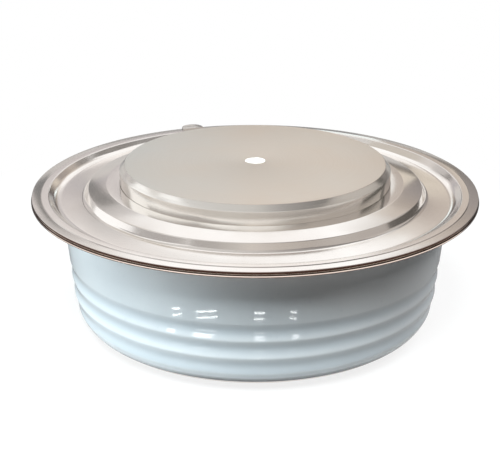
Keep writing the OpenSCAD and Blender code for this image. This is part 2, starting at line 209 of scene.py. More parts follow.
class FinishSettings(bpy.types.PropertyGroup):
    """Colours of the finishes."""
    pole: colour("Pole", "Matte nickel plating", 0.71, 0.73, 0.71)
    # Warmer colour of the plating's random blotches, also painted as a reflection cast that grows from the
    # left side to the middle
    pole_warm_and_reflection: colour("Pole, warm", "Warm cast of the matte plating", 0.78, 0.69, 0.60)
    # The mouth's whitish colour is a painted highlight
    mouth: colour("Mouth", "Bare bright mouth of the upper hole", 0.95, 0.94, 0.92)
    pole_side: colour("Pole side", "Smoother plating on the pole's side", 0.88, 0.86, 0.82)
    sheet: colour("Sheet", "Bright nickel plating", 0.93, 0.90, 0.87)
    sheet_worn: colour("Sheet, worn", "Dulled bright plating", 0.85, 0.80, 0.76)
    # Colour of the browned sheared edges, also painted as shade in the gap between the sheets, under the
    # weld ring's edge and in two thin rings on the lip
    tarnish_and_shade: colour("Tarnish", "Brown tarnish of the sheared edges", 0.06, 0.03, 0.022)
    glaze: colour("Glaze", "White glaze", 0.80, 0.85, 0.88)
    # The grooves' darker, bluer colour is painted shade
    glaze_groove_shade: colour("Glaze in grooves", "Glaze where it lies thick", 0.66, 0.73, 0.78)
    # The foot's dark colour is painted shade along the ceramic's bottom edge, weaker on the left where the
    # key light falls
    foot: colour("Foot", "Dark metallised edge of the ceramic's foot", 0.13, 0.14, 0.15)
    lower_nickel: colour("Plain nickel", "Gate pieces", 0.70, 0.67, 0.62)
    plastic: colour("Plastic", "Waxy white insulation", 0.86, 0.86, 0.83)
    molybdenum: colour("Molybdenum", "Lapped discs", 0.42, 0.43, 0.45)
    silver: colour("Silver", "Soft foil", 0.88, 0.87, 0.85)
    silicon: colour("Silicon", "Polished wafer", 0.20, 0.22, 0.27)
    rubber: colour("Rubber", "Coat on the wafer's edge", 0.55, 0.16, 0.09)


class StageSettings(bpy.types.PropertyGroup):
    """Camera, floor and light."""
    distance: length("Distance", "Camera's distance from the lip's centre", 250)
    elevation: angle("Elevation", "Camera's height over the lip", 18.85)
    pitch: angle("Pitch", "Camera's tilt below the horizon", 21.11)
    yaw: angle("Yaw", "Camera's turn to the left", 0.27)
    roll: angle("Roll", "Camera's roll", 0.1)
    lens: FloatProperty(name="Lens", description="Focal length", default=79, subtype="DISTANCE_CAMERA")
    floor_size: length("Floor", "Side of the floor", 6000)
    bounce_near: share("Bounce, near", "Share of light that the floor throws back beside the capsule", 0.5)
    bounce_far: share("Bounce, far", "Share of light that the floor throws back further off", 0.02)
    floor_lift: share("Floor lift", "Share of plain white in the floor beside the capsule", 0.82)
    table_front: share("Table, front", "Strength of the floor's reflection in front", 0.95)
    table_back: share("Table, back", "Strength of the floor's reflection behind", 0.3)
    spill: share("Spill", "Share of the floor's reflection that the metal throws on the ceramic", 0.2)
    table_from: length("Table from", "Depth where the floor's reflection begins to fade", -60, least=-1000)
    table_to: length("Table to", "Depth where the floor's reflection is at its lowest", 20, least=-1000)
    bounce_from: length("Bounce from", "Distance where the floor's bounce begins to fade", 43)
    bounce_to: length("Bounce to", "Distance where the floor's bounce is at its lowest", 56)
    shade_from: length("Shade from", "Distance where the shadow begins to fade", 60)
    shade_to: length("Shade to", "Distance where the floor is plain white", 130)
    key_power: strength("Key", "Power of the key light", 4.4, kind="POWER")
    top_power: strength("Top", "Power of the top light", 5.5, kind="POWER")
    back_power: strength("Back", "Power of the back light", 4.0, kind="POWER")
    fill_power: strength("Fill", "Power of the fill light", 1.0, kind="POWER")
    glint: strength("Glint", "Strength of the cards that the plain wall mirrors as dashes", 16)
    edge_board: length("Edge board", "Distance of the boards that the rim's lower edge mirrors", 75)
    edge_glow: strength("Edge glow", "Strength of the boards that the rim's lower edge mirrors", 1.1)
    pane: strength("Pane", "Strength of the cards that the ribs mirror", 13)
    ambient: share("Ambient", "Strength of the world on matte surfaces", 0.035)
    gloss_lift: share("Gloss lift", "Extra strength of the world in gloss", 0.1)


class ThyristorSettings(bpy.types.PropertyGroup):
    """All settings of the thyristor."""
    pole: PointerProperty(type=PoleSettings)
    rim: PointerProperty(type=RimSettings)
    ceramic: PointerProperty(type=CeramicSettings)
    lead: PointerProperty(type=LeadSettings)
    finish: PointerProperty(type=FinishSettings)
    stage: PointerProperty(type=StageSettings)
    segments: count("Segments", "Segments of a turned piece", 288, least=24)
    bend_steps: count("Bend steps", "Points along a bend", 6)
    crease: angle("Crease", "Edges sharper than this stay sharp", 32)


def settings():
    """Settings of the current scene."""
    return bpy.context.scene.thyristor


# Node trees

class Nodes:
    """Adds nodes to one tree and links them."""
    SPACING = 190

    def __init__(self, tree):
        self.tree = tree

    def add(self, kind, inputs=None, **choices):
        """Adds a node; inputs are values or other nodes' outputs, choices are the node's own options."""
        node = self.tree.nodes.new(kind)
        node.location.x = self.SPACING * len(self.tree.nodes)
        for key, value in choices.items():
            setattr(node, key, value)
        for key, value in (inputs or {}).items():
            self.put(node.inputs[key], value)
        return node

    def out(self, kind, inputs=None, output=0, **choices):
        """The first output of a new node, or a named one."""
        return self.add(kind, inputs, **choices).outputs[output]

    def put(self, socket, value):
        """Links a socket, or sets its value."""
        if isinstance(value, bpy.types.NodeSocket):
            self.tree.links.new(value, socket)
        else:
            socket.default_value = value

    def math(self, operation, *values):
        """Output of a math node."""
        return self.out("ShaderNodeMath", dict(enumerate(values)), operation=operation)

    def whole(self, operation, *values):
        """Output of a math node on whole numbers."""
        return self.out("FunctionNodeIntegerMath", dict(enumerate(values)), operation=operation)

    def attribute(self, name):
        """Output of a named attribute of the geometry."""
        return self.out("GeometryNodeInputNamedAttribute", {"Name": name}, data_type="FLOAT")


SOCKETS = {
    "geometry": "NodeSocketGeometry",
    "whole": "NodeSocketInt",
    "number": "NodeSocketFloat",
    "switch": "NodeSocketBool",
    "material": "NodeSocketMaterial",
}


def new_tree(name, inputs):
    """Builder and inputs of a new geometry node tree with one geometry output."""
    group = bpy.data.node_groups.new(name, "GeometryNodeTree")
    for title, kind in inputs.items():
        group.interface.new_socket(title, in_out="INPUT", socket_type=SOCKETS[kind])
    group.interface.new_socket("Geometry", in_out="OUTPUT", socket_type=SOCKETS["geometry"])
    nodes = Nodes(group)
    return nodes, nodes.add("NodeGroupInput").outputs


def close_tree(nodes, geometry, material):
    """Ends a tree with real geometry and its material."""
    real = nodes.out("GeometryNodeRealizeInstances", {"Geometry": geometry})
    dressed = nodes.out("GeometryNodeSetMaterial", {"Geometry": real, "Material": material})
    nodes.add("NodeGroupOutput", {"Geometry": dressed})


TURNED_INPUTS = {
    "Profile": "geometry",
    "Segments": "whole",
    "Bend Steps": "whole",
    "Closed": "switch",
    "Material": "material",
}


def turned_tree():
    """Turns a profile of corners, each with its bend radius, round the Z axis."""
    nodes, given = new_tree("Turned Piece", TURNED_INPUTS)
    outline = nodes.out("GeometryNodeMeshToCurve", {"Mesh": given["Profile"]})
    bent = nodes.out("GeometryNodeFilletCurve", {
        "Curve": outline, "Count": given["Bend Steps"], "Radius": nodes.attribute("bend"),
    }, mode="POLY")
    corners = nodes.out("GeometryNodeAttributeDomainSize", {"Geometry": bent}, component="CURVE")
    round_steps = nodes.whole("ADD", given["Segments"], 1)
    sheet = nodes.out("GeometryNodeMeshGrid", {
        "Vertices X": nodes.whole("ADD", corners, given["Closed"]), "Vertices Y": round_steps,
    })
    index = nodes.out("GeometryNodeInputIndex")
    along = nodes.whole("MODULO", nodes.whole("DIVIDE_FLOOR", index, round_steps), corners)
    around = nodes.whole("MODULO", nodes.whole("MODULO", index, round_steps), given["Segments"])
    turn = nodes.math("MULTIPLY", nodes.math("DIVIDE", around, given["Segments"]), math.tau)
    corner = nodes.out("GeometryNodeSampleIndex", {
        "Geometry": bent, "Value": nodes.out("GeometryNodeInputPosition"), "Index": along,
    }, data_type="FLOAT_VECTOR")
    parts = nodes.add("ShaderNodeSeparateXYZ", {"Vector": corner}).outputs
    spot = nodes.out("ShaderNodeCombineXYZ", {
        "X": nodes.math("MULTIPLY", parts["X"], nodes.math("COSINE", turn)),
        "Y": nodes.math("MULTIPLY", parts["X"], nodes.math("SINE", turn)),
        "Z": parts["Z"],
    })
    moved = nodes.out("GeometryNodeSetPosition", {"Geometry": sheet, "Position": spot})
    joined = nodes.out("GeometryNodeMergeByDistance", {"Geometry": moved, "Distance": WELD})
    close_tree(nodes, joined, given["Material"])


RIB_INPUTS = {"Grooves": "whole", "Rib Pitch": "number", "Groove Depth": "number", "First Groove": "number"}
# Below 1, the power of the grooves' wave makes the ribs narrower than the grooves
GROOVE_POWER = 0.7


def ribbed_tree():
    """Presses rounded grooves into the wall of a profile, then turns it."""
    nodes, given = new_tree("Ribbed Ring", {**TURNED_INPUTS, **RIB_INPUTS})
    place = nodes.out("GeometryNodeInputPosition")
    height = nodes.out("ShaderNodeSeparateXYZ", {"Vector": place}, "Z")
    step = nodes.math("DIVIDE", nodes.math("SUBTRACT", height, given["First Groove"]), given["Rib Pitch"])
    swing = nodes.math("COSINE", nodes.math("MULTIPLY", step, math.tau))
    wave = nodes.math("POWER", nodes.math("MULTIPLY_ADD", swing, 0.5, 0.5), GROOVE_POWER)
    from_first = nodes.math("GREATER_THAN", step, -0.5)
    to_last = nodes.math("LESS_THAN", step, nodes.math("SUBTRACT", given["Grooves"], 0.5))
    groove = nodes.math("MULTIPLY", wave, nodes.math("MULTIPLY", from_first, to_last))
    on_wall = nodes.math("MULTIPLY", groove, nodes.attribute("wall"))
    inwards = nodes.math("MULTIPLY", on_wall, nodes.math("MULTIPLY", given["Groove Depth"], -1))
    push = nodes.out("ShaderNodeCombineXYZ", {"X": inwards})
    pressed = nodes.out("GeometryNodeSetPosition", {"Geometry": given["Profile"], "Offset": push})
    ring = nodes.add("GeometryNodeGroup", node_tree=shared_tree("Turned Piece"))
    nodes.put(ring.inputs["Profile"], pressed)
    for title in ("Segments", "Bend Steps", "Closed", "Material"):
        nodes.put(ring.inputs[title], given[title])
    close_tree(nodes, ring.outputs[0], given["Material"])


COIL_STEPS, WIRE_STEPS = 64, 16


def coil_tree():
    """Carries a round wire up a helix."""
    nodes, given = new_tree("Coil Spring", {
        "Profile": "geometry", "Turns": "number", "Radius": "number", "Rise": "number",
        "Wire Radius": "number", "Bottom": "number", "Material": "material",
    })
    helix = nodes.out("GeometryNodeCurveSpiral", {
        "Resolution": COIL_STEPS, "Rotations": given["Turns"], "Start Radius": given["Radius"],
        "End Radius": given["Radius"], "Height": given["Rise"],
    })
    wire = nodes.out("GeometryNodeCurvePrimitiveCircle", {
        "Resolution": WIRE_STEPS, "Radius": given["Wire Radius"],
    })
    coil = nodes.out("GeometryNodeCurveToMesh", {"Curve": helix, "Profile Curve": wire, "Fill Caps": True})
    lift = nodes.out("ShaderNodeCombineXYZ", {"Z": given["Bottom"]})
    placed = nodes.out("GeometryNodeTransform", {"Geometry": coil, "Translation": lift})
    close_tree(nodes, placed, given["Material"])


TREES = {"Turned Piece": turned_tree, "Ribbed Ring": ribbed_tree, "Coil Spring": coil_tree}


def shared_tree(name):
    """A node tree by its name, built when first asked for."""
    if name not in bpy.data.node_groups:
        TREES[name]()
    return bpy.data.node_groups[name]


# Profiles and meshes

def right_of(start, end):
    """Unit vector to the right of a step."""
    step = (end - start).normalized()
    return Vector((step.y, -step.x))


def shifted(path, distance):
    """The same path moved to its right."""
    last = len(path) - 1
    moved = []
    for i, point in enumerate(path):
        before = right_of(path[max(i - 1, 0)], path[max(i, 1)])
        after = right_of(path[min(i, last - 1)], path[min(i + 1, last)])
        moved.append(point + (before + after) * distance / (1 + before.dot(after)))
    return moved


def turn_at(path, i):
    """Positive where a path turns left at a corner."""
    first = path[i] - path[i - 1]
    second = path[i + 1] - path[i]
    return first.x * second.y - first.y * second.x


def sheet_profile(path, bends, thickness, edge):
    """Corners of a bent sheet whose upper side is the path: radius, height and bend of each."""
    last = len(path) - 1
    under = shifted(path, thickness)
    upper_bends = [edge, *bends[1:last], edge]
    under_bends = [edge]
    for i in range(1, last):
        wider = thickness if turn_at(path, i) > 0 else -thickness
        under_bends.append(max(0, bends[i] + wider) if bends[i] else 0)
    under_bends.append(edge)
    upper_side = [(p.x, p.y, b) for p, b in zip(path, upper_bends)]
    under_side = [(p.x, p.y, b) for p, b in zip(under, under_bends)]
    return upper_side + under_side[::-1]


def in_scene(name, data):
    """New object in the scene."""
    piece = bpy.data.objects.new(name, data)
    bpy.context.scene.collection.objects.link(piece)
    return piece


def evaluated_mesh(piece):
    """Mesh of a piece as its modifiers or its curve's settings make it."""
    bpy.context.view_layer.update()
    graph = bpy.context.evaluated_depsgraph_get()
    return bpy.data.meshes.new_from_object(piece.evaluated_get(graph))


def profile_object(name, corners, closed, wall=()):
    """Object whose mesh is a profile of (radius, height, bend) corners; wall lists the corners to groove."""
    mesh = bpy.data.meshes.new(name)
    total = len(corners)
    edges = [(i, (i + 1) % total) for i in range(total if closed else total - 1)]
    mesh.from_pydata([(r, 0, z) for r, z, bend in corners], edges, [])
    bends = mesh.attributes.new("bend", "FLOAT", "POINT")
    bends.data.foreach_set("value", [bend for r, z, bend in corners])
    walls = mesh.attributes.new("wall", "FLOAT", "POINT")
    walls.data.foreach_set("value", [1.0 if i in wall else 0.0 for i in range(total)])
    return in_scene(name, mesh)


def add_tree(piece, tree_name, values):
    """Gives a piece a node tree and sets the tree's inputs by their identifiers."""
    modifier = piece.modifiers.new(tree_name, "NODES")
    modifier.node_group = shared_tree(tree_name)
    for item in modifier.node_group.interface.items_tree:
        if item.in_out == "INPUT" and item.name in values:
            modifier[item.identifier] = values[item.name]


def cut_away(piece, cutter):
    """Takes a cutter's volume out of a piece when it is evaluated."""
    modifier = piece.modifiers.new(cutter.name, "BOOLEAN")
    modifier.operation = "DIFFERENCE"
    modifier.solver = "EXACT"
    modifier.object = cutter


def settle(piece, cutters=()):
    """Turns a piece's modifiers into a plain mesh with outward faces and sharp creases."""
    mesh = evaluated_mesh(piece)
    piece.modifiers.clear()
    raw = piece.data
    piece.data = mesh
    bpy.data.meshes.remove(raw)
    for cutter in cutters:
        bpy.data.objects.remove(cutter)
    work = bmesh.new()
    work.from_mesh(mesh)
    bmesh.ops.remove_doubles(work, verts=work.verts, dist=WELD / 2)
    bmesh.ops.recalc_face_normals(work, faces=work.faces)
    work.to_mesh(mesh)
    work.free()
    mesh.shade_smooth()
    mesh.set_sharp_from_angle(angle=settings().crease)
    mesh.name = piece.name


def turned(name, corners, closed, material, cutters=()):
    """A turned piece from its profile, less its cutters."""
    piece = profile_object(name, corners, closed)
    add_tree(piece, "Turned Piece", {
        "Segments": settings().segments, "Bend Steps": settings().bend_steps, "Closed": closed,
        "Material": material,
    })
    for cutter in cutters:
        cut_away(piece, cutter)
    settle(piece, cutters)
    return piece


def stand_for(piece, node):
    """Puts a finished piece in a CAD node's place."""
    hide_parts(node)
    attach(piece, BODY)


def to_lead():
    """Matrix that lays +Z along the gate lead."""
    aim = Matrix.Rotation(LEAD_ANGLE, 4, "Z") @ Matrix.Rotation(math.pi / 2, 4, "Y")
    return Matrix.Translation((0, 0, LEAD_Z)) @ aim


# Finishes

NOISE_ROUGHNESS = 0.55
# Most greys of a noise lie between these
NOISE_LOW, NOISE_HIGH = 0.3, 0.7
GLAZE_IOR = 1.55
# Colour of the plain finishes' grain against their own
GRAIN_SHADE = 0.82
# How much smoother than its face the pole's turned side is
SIDE_POLISH = 0.26
# How much rougher the browned edges and the painted shade rings are
BROWN_AND_SHADE_ROUGHNESS = 0.2
# How much of the painted groove shade's colour the grooves show
GROOVE_SHADE = 0.9
# Height of the turning rings' and the grain's relief in the sheets
SHEET_RELIEF = 0.0006 * MM
# Depths of the painted shade rings beside and on the weld track
SEAM_SHADE_DEPTH, CREST_SHADE_DEPTH = 0.28, 0.3
# Where masks begin and end, from the edge or the height that they belong to
SIDE_FADE = (0.02 * MM, 0.1 * MM)
MOUTH_HIGHLIGHT_FADE = (0, -0.05 * MM)
CUT_EDGE_FADE = (-0.12 * MM, -0.04 * MM)
BELOW_LIP_FADE = (-0.03 * MM, -0.12 * MM)
OVER_RING_FADE = (-0.16 * MM, -0.1 * MM)
UNDER_RING_SHADE_FADE = (0.2 * MM, 0.12 * MM)
ON_LIP_FADE = (-0.3 * MM, -0.1 * MM)
FOOT_SHADE_FADE = (1.9 * MM, 0.9 * MM)
# The foot's painted shade grows from a share on the left, where the key light falls, to its full strength
FOOT_SHADE_LEFT, FOOT_SHADE_FULL, FOOT_SHADE_LEAST = -34 * MM, -8 * MM, 0.2


def new_material(name):
    """Material with its builder, its shader and the Object coordinates."""
    material = bpy.data.materials.new(name)
    material.use_nodes = True
    nodes = Nodes(material.node_tree)
    shader = material.node_tree.nodes["Principled BSDF"]
    place = nodes.out("ShaderNodeTexCoord", output="Object")
    return material, nodes, shader, place


def noise(nodes, place, scale, detail):
    """Grey noise of a scale, in features per metre."""
    return nodes.out("ShaderNodeTexNoise", {
        "Vector": place, "Scale": scale, "Detail": detail, "Roughness": NOISE_ROUGHNESS,
    }, "Fac")


def polar(nodes, place):
    """A place's way across the view, its distance from the Z axis and its height."""
    parts = nodes.add("ShaderNodeSeparateXYZ", {"Vector": place}).outputs
    flat = nodes.out("ShaderNodeCombineXYZ", {"X": parts["X"], "Y": parts["Y"]})
    radius = nodes.out("ShaderNodeVectorMath", {0: flat}, "Value", operation="LENGTH")
    return parts["X"], radius, parts["Z"]


def rings(nodes, radius, scale, detail):
    """Grey rings round the Z axis that vary with the radius alone."""
    return nodes.out("ShaderNodeTexNoise", {
        "W": radius, "Scale": scale, "Detail": detail,
    }, "Fac", noise_dimensions="1D")


def spread(nodes, value, low_in, high_in, low_out=0, high_out=1):
    """Maps a range of values to another, clamped."""
    return nodes.out("ShaderNodeMapRange", {
        "Value": value, "From Min": low_in, "From Max": high_in, "To Min": low_out, "To Max": high_out,
    }, "Result")


def vary(nodes, grey, low_out=0, high_out=1):
    """Maps most of a noise's greys to a range."""
    return spread(nodes, grey, NOISE_LOW, NOISE_HIGH, low_out, high_out)


def fade(nodes, value, edge, offsets):
    """Rises from 0 to 1 between two offsets from an edge."""
    return spread(nodes, value, edge + offsets[0], edge + offsets[1])


def line_at(nodes, radius, at, half, core, depth):
    """Ring of a depth at a radius, full within its core."""
    off = nodes.math("ABSOLUTE", nodes.math("SUBTRACT", radius, at))
    return spread(nodes, off, half, core, 0, depth)


def mix(nodes, factor, first, second):
    """Colour between two colours, each an output or a plain colour."""
    node = nodes.add("ShaderNodeMix", {"Factor": factor}, data_type="RGBA")
    for key, tint in (("A", first), ("B", second)):
        nodes.put(node.inputs[key], tint if isinstance(tint, bpy.types.NodeSocket) else (*tint, 1))
    return node.outputs["Result"]


def surface(nodes, shader, tint, rough, metallic=0):
    """Colour, roughness and metal share of a shader, each an output or a value."""
    nodes.put(shader.inputs["Base Color"], tint)
    nodes.put(shader.inputs["Roughness"], rough)
    nodes.put(shader.inputs["Metallic"], metallic)


def bump(nodes, shader, height, strength, distance):
    """Fine relief on a shader."""
    relief = nodes.out("ShaderNodeBump", {"Height": height, "Strength": strength, "Distance": distance})
    nodes.put(shader.inputs["Normal"], relief)


def pole_finish():
    """Matte nickel plating over turned copper: turning rings, soft warmer blotches, a painted reflection
    cast that is greyer on the left, and a painted highlight in the hole's mouth.
    """
    look, pole = settings().finish, settings().pole
    material, nodes, shader, place = new_material("matte_nickel")
    across, radius = polar(nodes, place)[:2]
    ring = rings(nodes, radius, scale=2400, detail=4)
    blotch = noise(nodes, place, scale=38, detail=3)
    grain = noise(nodes, place, scale=2600, detail=2)
    # Painted reflection: the plating grows warmer from the left side to the middle
    painted_reflection_cast = spread(nodes, across, -pole.radius, 0, 0, 0.75)
    tint = nodes.math("ADD", painted_reflection_cast, spread(nodes, blotch, 0.35, 0.65, 0, 0.25))
    side = fade(nodes, radius, pole.radius - pole.chamfer, SIDE_FADE)
    # Painted highlight: the hole's mouth turns whitish and barely metallic
    mouth = fade(nodes, radius, pole.mouth_radius, MOUTH_HIGHLIGHT_FADE)
    plating = mix(nodes, tint, look.pole, look.pole_warm_and_reflection)
    plating = mix(nodes, side, plating, look.pole_side)
    plating = mix(nodes, mouth, plating, look.mouth)
    uneven = nodes.math("ADD", vary(nodes, blotch, -0.03, 0.03), vary(nodes, ring, 0.40, 0.48))
    rough = nodes.math("SUBTRACT", uneven, nodes.math("MULTIPLY", side, SIDE_POLISH))
    surface(nodes, shader, plating, rough, spread(nodes, mouth, 0, 1, 1, 0.1))
    relief = nodes.math("ADD", nodes.math("MULTIPLY", ring, 0.7), nodes.math("MULTIPLY", grain, 0.3))
    bump(nodes, shader, relief, strength=0.25, distance=0.01 * MM)
    return material


def sheet_finish():
    """Bright nickel plating, dulled in places, with browned cut edges, painted shade in the gap between the
    sheets and under the weld ring's edge, two painted shade rings on the lip, and a drooping margin.
    """
    look, rim = settings().finish, settings().rim
    material, nodes, shader, place = new_material("bright_nickel")
    radius, height = polar(nodes, place)[1:]
    ring = rings(nodes, radius, scale=1500, detail=3)
    dull = noise(nodes, place, scale=45, detail=4)
    grain = noise(nodes, place, scale=3200, detail=2)
    lip, outer = lip_height(), reach("cathode_flange")
    ring_top = lip - rim.sheet - rim.splay
    # The lid's cut edge down to the weld ring: browned, and darkened further as painted shade of the gap
    # between the sheets
    below_lip = fade(nodes, height, lip, BELOW_LIP_FADE)
    over_ring = fade(nodes, height, ring_top, OVER_RING_FADE)
    # Painted shade on the lower part of the weld ring's edge
    under_ring_shade = fade(nodes, height, ring_top - rim.sheet, UNDER_RING_SHADE_FADE)
    edges = nodes.math("ADD", nodes.math("MULTIPLY", below_lip, over_ring), under_ring_shade)
    cut = nodes.math("MULTIPLY", fade(nodes, radius, outer, CUT_EDGE_FADE), edges)
    # Painted shade: thin dark rings at the weld track's step and along the crest's edge
    step = outer - rim.margin_w + rim.track_rise / 2
    seam_shade = line_at(nodes, radius, step, rim.track_rise, rim.track_rise / 2, SEAM_SHADE_DEPTH)
    crest = line_at(nodes, radius, outer - rim.lip_w, rim.track_rise, 0, CREST_SHADE_DEPTH)
    shade_lines = nodes.math("MULTIPLY", nodes.math("MAXIMUM", seam_shade, crest), fade(nodes, height, lip, ON_LIP_FADE))
    brown_and_shade = nodes.math("MAXIMUM", cut, shade_lines)
    plating = mix(nodes, spread(nodes, dull, 0.4, 0.75), look.sheet, look.sheet_worn)
    plating = mix(nodes, brown_and_shade, plating, look.tarnish_and_shade)
    uneven = nodes.math("ADD", vary(nodes, dull, 0.11, 0.18), vary(nodes, grain, -0.03, 0.03))
    rough = nodes.math("ADD", uneven, nodes.math("MULTIPLY", brown_and_shade, BROWN_AND_SHADE_ROUGHNESS))
    surface(nodes, shader, plating, rough, metallic=1)
    relief = nodes.math("MULTIPLY", nodes.math("ADD", ring, grain), SHEET_RELIEF)
    margin = outer - rim.margin_w + rim.track_rise
    droop = spread(nodes, radius, margin, outer, 0, -(outer - margin) * math.tan(rim.margin_droop))
    bump(nodes, shader, nodes.math("ADD", relief, droop), strength=1, distance=1)
    return material


def glaze_finish():
    """White gloss glaze, a little uneven, with painted shade in the grooves, darker and bluer, over a foot
    with a dark painted shade.
    """
    look, sizes = settings().finish, settings().ceramic
    material, nodes, shader, place = new_material("white_glaze")
    across, radius, height = polar(nodes, place)
    cloud = noise(nodes, place, scale=60, detail=3)
    speck = noise(nodes, place, scale=900, detail=2)
    clouds, specks = spread(nodes, cloud, 0.35, 0.7, 0, 0.3), spread(nodes, speck, 0.62, 0.75, 0, 0.2)
    bottom, upper = low("ceramic_insulator"), top("ceramic_insulator")
    slope = math.tan(sizes.draft)
    wall = nodes.math("MULTIPLY_ADD", height, slope, reach("ceramic_insulator") - upper * slope)
    sunk = spread(nodes, nodes.math("SUBTRACT", wall, radius), 0, sizes.groove_depth)
    ribs_low = bottom + sizes.groove_start - sizes.rib_pitch / 2
    on_ribs = spread(nodes, height, ribs_low, ribs_low + sizes.rib_pitch / 8)
    # Painted shade: darker, bluer colour where the surface sinks into a groove
    groove_shade = nodes.math("MULTIPLY", nodes.math("MULTIPLY", sunk, on_ribs), GROOVE_SHADE)
    tint = nodes.math("ADD", nodes.math("ADD", clouds, specks), groove_shade)
    glaze = mix(nodes, tint, look.glaze, look.glaze_groove_shade)
    # Painted shade along the bottom edge, weaker on the left where the key light falls
    foot = nodes.math("MULTIPLY", fade(nodes, height, bottom, FOOT_SHADE_FADE),
                      spread(nodes, across, FOOT_SHADE_LEFT, FOOT_SHADE_FULL, FOOT_SHADE_LEAST, 1))
    surface(nodes, shader, mix(nodes, foot, glaze, look.foot), vary(nodes, cloud, 0.04, 0.08))
    shader.inputs["IOR"].default_value = GLAZE_IOR
    bump(nodes, shader, noise(nodes, place, scale=220, detail=2), strength=0.15, distance=0.05 * MM)
    return material


def plain_finish(name, tint_name, metallic, rough, scale, uneven):
    """Finish of an inner piece: one colour with a little darker grain."""
    material, nodes, shader, place = new_material(name)
    grain = noise(nodes, place, scale, detail=4)
    tint = getattr(settings().finish, tint_name)
    grained = mix(nodes, vary(nodes, grain), tint, [GRAIN_SHADE * part for part in tint])
    surface(nodes, shader, grained, vary(nodes, grain, rough, rough + uneven), metallic)
    bump(nodes, shader, grain, strength=0.15, distance=0.01 * MM)
    return material


SPECIAL = {"plated_pole": pole_finish, "bright_sheet": sheet_finish, "white_glaze": glaze_finish}
# Other slots: material, its colour's setting, metallic, roughness, grain per metre, unevenness
PLAIN = {
    "gate_metal": ("plain_nickel", "lower_nickel", 1, 0.25, 900, 0.1),
    "white_plastic": ("waxy_plastic", "plastic", 0, 0.42, 500, 0.12),
    "molybdenum": ("lapped_molybdenum", "molybdenum", 1, 0.4, 1500, 0.12),
    "silver": ("soft_silver", "silver", 1, 0.22, 700, 0.12),
    "silicon": ("polished_silicon", "silicon", 1, 0.05, 300, 0.05),
    "seal_rubber": ("seal_rubber", "rubber", 0, 0.55, 1200, 0.15),
}
MADE = {}


def finish(slot):
    """The material of a record's slot, made when first asked for."""
    if slot not in MADE:
        MADE[slot] = SPECIAL[slot]() if slot in SPECIAL else plain_finish(*PLAIN[slot])
    return MADE[slot]


def dress(node, slot):
    """Gives a carried-over CAD node its finish."""
    mesh = frame["nodes"][node].data
    mesh.materials.clear()
    mesh.materials.append(finish(slot))


# Pieces

SLOT_CLEARANCE = 0.15 * MM
# How far the cutters go past what they cut
SLOT_OVER, HOLE_OVER = 1 * MM, 5 * MM
# What stands out further than this from the gate tube is its bead
BEAD_MARGIN = 0.05 * MM
# Rounding of the bead's edges against its thickness
BEAD_ROUND = 0.3
TAB_STEPS, TAB_EDGE_STEPS = 48, 2
# Places of the wall's lower and upper corner in the lid's path
VALLEY, CREST = 4, 5


def lip_height():
    """Height of the lip's margin."""
    rim = settings().rim
    return top("cathode_flange") - rim.shelf_rise - rim.shelf_slope


def lid_path():
    """Corners of the lid's upper side and their bends, from the pole to the rim."""
    pole, rim = settings().pole, settings().rim
    lip, outer = lip_height(), reach("cathode_flange")
    shoulder = reach("cathode_pole")
    seat = top("cathode_flange")
    valley = lip - rim.lip_h
    shelf = shoulder + rim.shelf_w
    crest = outer - rim.lip_w
    track_end = outer - rim.margin_w
    path = [
        (pole.radius + rim.braze_gap, seat),
        (shoulder + rim.sheet, seat),
        (shelf, lip + rim.shelf_rise),
        (shelf + rim.shelf_run, valley + rim.valley_rise),
        (crest - rim.lip_run, valley),
        (crest, lip + rim.track_rise),
        (track_end, lip + rim.track_rise),
        (track_end + rim.track_rise, lip),
        (outer, lip),
    ]
    bends = [0, rim.bend, rim.shelf_edge, rim.bend, rim.valley_bend, rim.crest_bend, 0, 0, 0]
    return [Vector(p) for p in path], bends


def ring_path():
    """Corners of the weld ring's upper side and their bends."""
    rim = settings().rim
    lip = lip_height()
    nested = shifted(lid_path()[0], rim.sheet + rim.nest_gap)
    crest = nested[CREST]
    wall = crest - nested[VALLEY]
    ring_z = top("ceramic_insulator") + rim.sheet
    track_z = lip + rim.track_rise - rim.sheet
    track_end = reach("cathode_flange") - rim.margin_w
    bore = reach("ceramic_insulator") - settings().ceramic.wall
    path = [
        Vector((bore + rim.ring_setback, ring_z)),
        crest - wall * (crest.y - ring_z) / wall.y,
        crest - wall * (crest.y - track_z) / wall.y,
        Vector((track_end - 2 * rim.track_rise, track_z)),
        Vector((track_end, lip - rim.sheet - rim.nest_gap)),
        Vector((RIM_REACH, lip - rim.sheet - rim.splay)),
    ]
    return path, [0, rim.valley_bend + rim.sheet + rim.nest_gap, rim.crest_bend, 0, 0, 0]


def lower_path():
    """Corners of the lower flange's upper side and their bends."""
    pole, rim = settings().pole, settings().rim
    level = low("ceramic_insulator")
    sheet = rim.lower_sheet
    bead_in = reach("anode_pole") + sheet
    bead_out = reach("ceramic_insulator") - settings().ceramic.wall - sheet
    flat = (bead_out - bead_in) / 3
    path = [
        (pole.radius + rim.braze_gap, level),
        (bead_in, level),
        (bead_in + flat, level + rim.bead_h),
        (bead_out - flat, level + rim.bead_h),
        (bead_out, level),
        (reach("anode_flange"), level),
    ]
    return [Vector(p) for p in path], [0, sheet / 2, sheet, sheet, sheet / 2, 0]


